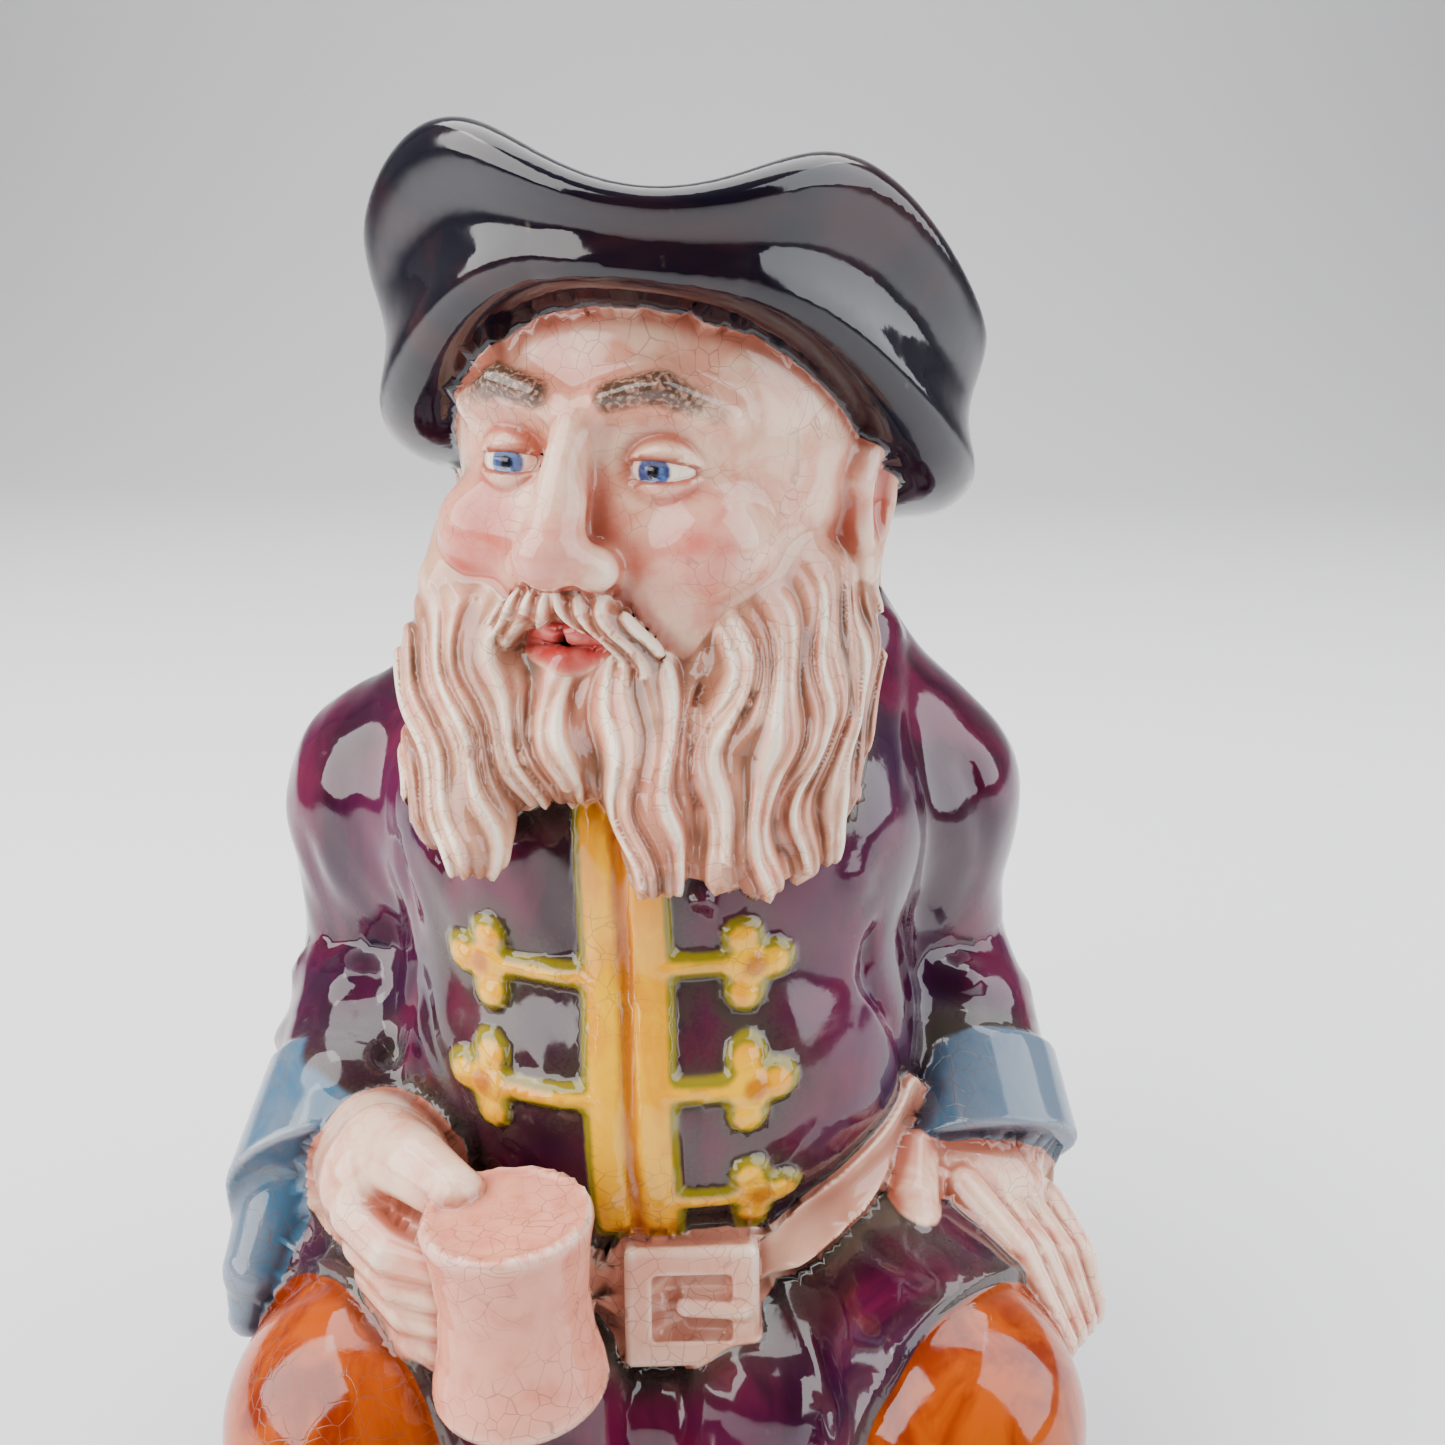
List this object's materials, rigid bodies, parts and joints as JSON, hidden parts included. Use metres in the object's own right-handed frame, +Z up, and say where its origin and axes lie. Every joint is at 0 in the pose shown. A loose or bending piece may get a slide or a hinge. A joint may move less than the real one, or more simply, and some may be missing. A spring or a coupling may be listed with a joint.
{
  "type": "toby jug",
  "caption": "Hollow glazed jug shaped as a seated bearded figure in a cocked hat holding a mug, open through the hat, with a loop handle at the back.",
  "frame": {"origin": "on the flat underside, straight below the middle of the figure's body", "axes": "+Z up through the hat, the figure looks along -Y, and the handle stands out along +Y"},
  "size_m": [0.1502, 0.1836, 0.2508],
  "materials": {
    "glazed_earthenware": "gloss"
  },
  "bodies": {
    "root": {"toby_jug": "glazed_earthenware"}
  },
  "joints": []
}
